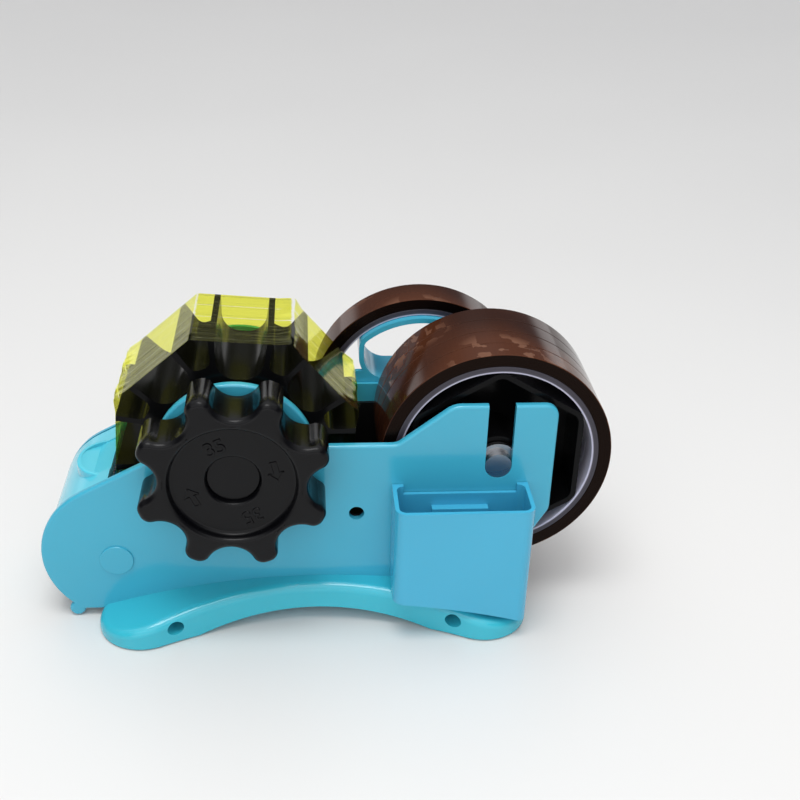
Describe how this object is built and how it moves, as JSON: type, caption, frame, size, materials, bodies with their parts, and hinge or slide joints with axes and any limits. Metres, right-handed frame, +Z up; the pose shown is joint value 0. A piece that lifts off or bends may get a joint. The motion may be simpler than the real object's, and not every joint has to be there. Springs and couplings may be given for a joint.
{
  "type": "tape dispenser organizer",
  "caption": "Desktop cutter for heat-resistant tape: knob-turned octagonal drum, reel of rolls, hooped spare roll, rocking blade cover and a lift-off pen box between solid side walls.",
  "frame": {"origin": "on the desk under the middle of the overall length and width, level with the undersides of the foot pads", "axes": "+X from the rounded nose with the cutter towards the rolls, +Y from the side with the hand knob and pen box towards the spare roll, +Z up"},
  "size_m": [0.2164, 0.0948, 0.117],
  "materials": {
    "teal_plastic": "gloss",
    "box_plastic": "gloss",
    "foot_plastic": "gloss",
    "frame_plastic": "satin",
    "drum_plastic": "gloss",
    "knob_plastic": "satin",
    "steel": "satin",
    "rubber": "matte",
    "film": "gloss",
    "wound_film": "gloss",
    "core_board": "satin"
  },
  "bodies": {
    "casing": {"near_side_wall": "teal_plastic", "far_side_wall": "teal_plastic", "inner_frame": "frame_plastic", "near_foot": "foot_plastic", "far_foot": "foot_plastic", "foot_pads": "rubber", "foot_screws": "steel", "axle_bushes": "frame_plastic", "pivot_pin": "steel", "pivot_caps": "teal_plastic", "cutter_spring": "steel", "spare_roll_holder": "teal_plastic", "holder_screws": "steel", "tape_web": "film"},
    "drum": {"cutting_drum": "drum_plastic", "drum_axle": "steel", "axle_clip": "steel", "hand_knob": "knob_plastic", "knob_screw": "steel", "knob_cap": "knob_plastic", "tape_strips": "film"},
    "reel": {"reel_hub": "drum_plastic", "reel_axle": "steel", "tape_core_1": "core_board", "tape_core_2": "core_board", "tape_core_3": "core_board", "tape_core_4": "core_board", "tape_wound_1": "wound_film", "tape_wound_2": "wound_film", "tape_wound_3": "wound_film", "tape_wound_4": "wound_film"},
    "spare_roll": {"spare_core": "core_board", "spare_tape": "wound_film"},
    "cutter": {"nose_cover": "teal_plastic", "cutter_blade": "steel", "blade_clamp": "steel", "clamp_screws": "steel"},
    "pen_box": {"pen_box": "box_plastic"}
  },
  "joints": [
    {"name": "drum_spin", "type": "hinge", "parent": "casing", "child": "drum", "pos_m": [-0.0336, 0, 0.072], "axis": [0, 1, 0], "continuous": true},
    {"name": "reel_spin", "type": "hinge", "parent": "casing", "child": "reel", "pos_m": [0.064, 0, 0.0657], "axis": [0, 1, 0], "continuous": true},
    {"name": "spare_roll_spin", "type": "hinge", "parent": "casing", "child": "spare_roll", "pos_m": [0.0389, 0, 0.0666], "axis": [0, 1, 0], "continuous": true},
    {"name": "cutter_press", "type": "hinge", "parent": "casing", "child": "cutter", "pos_m": [-0.0802, 0, 0.0263], "axis": [0, 1, 0], "range_deg": [0, 2], "stiffness_Nm_per_rad": 0.2, "springref_deg": -17.19},
    {"name": "pen_box_lift", "type": "slide", "parent": "casing", "child": "pen_box", "axis": [0, 0, 1], "range_m": [0, 0.036]}
  ],
  "couplings": [
    {"joint": "reel_spin", "follows": "drum_spin", "ratio": 1.0369}
  ]
}
